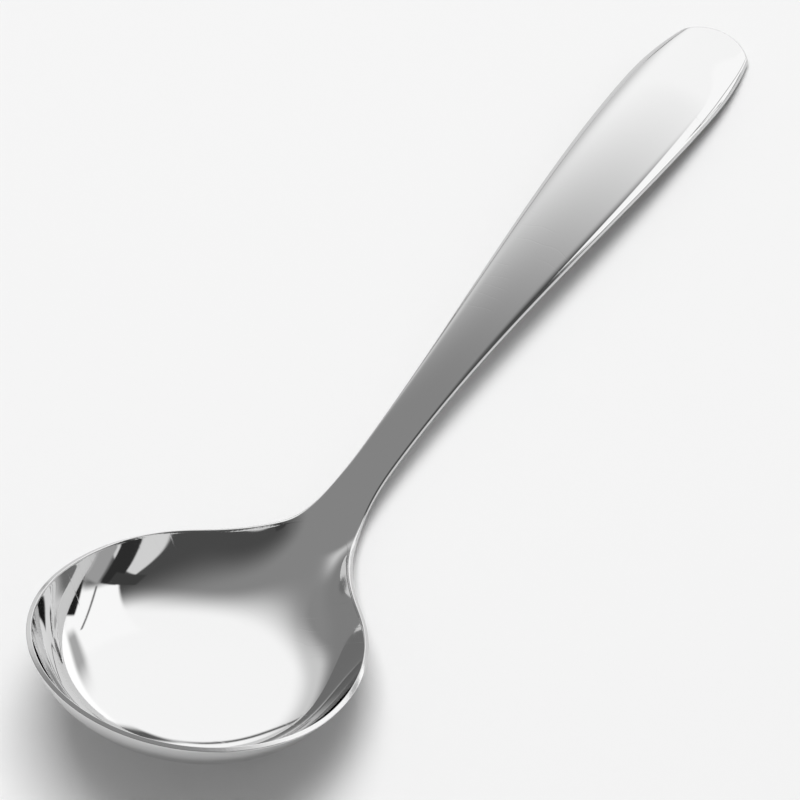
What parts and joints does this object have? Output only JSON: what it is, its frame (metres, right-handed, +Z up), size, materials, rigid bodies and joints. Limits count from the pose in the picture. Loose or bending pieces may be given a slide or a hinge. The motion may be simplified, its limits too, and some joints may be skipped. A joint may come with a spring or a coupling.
{
  "type": "soup spoon",
  "caption": "Long-handled soup spoon with a wide, shallow, nearly round bowl, pressed from one blank of stainless steel and mirror polished.",
  "frame": {"origin": "middle of the bounding box, on the table that the spoon rests on", "axes": "+X along the spoon from the bowl to the end of the handle, +Y across the bowl, +Z up from the table"},
  "size_m": [0.2088, 0.0578, 0.0286],
  "materials": {
    "polished_steel": "mirror-polished stainless steel with fine wiping scratches"
  },
  "bodies": {
    "root": {"spoon": "polished_steel"}
  },
  "joints": []
}
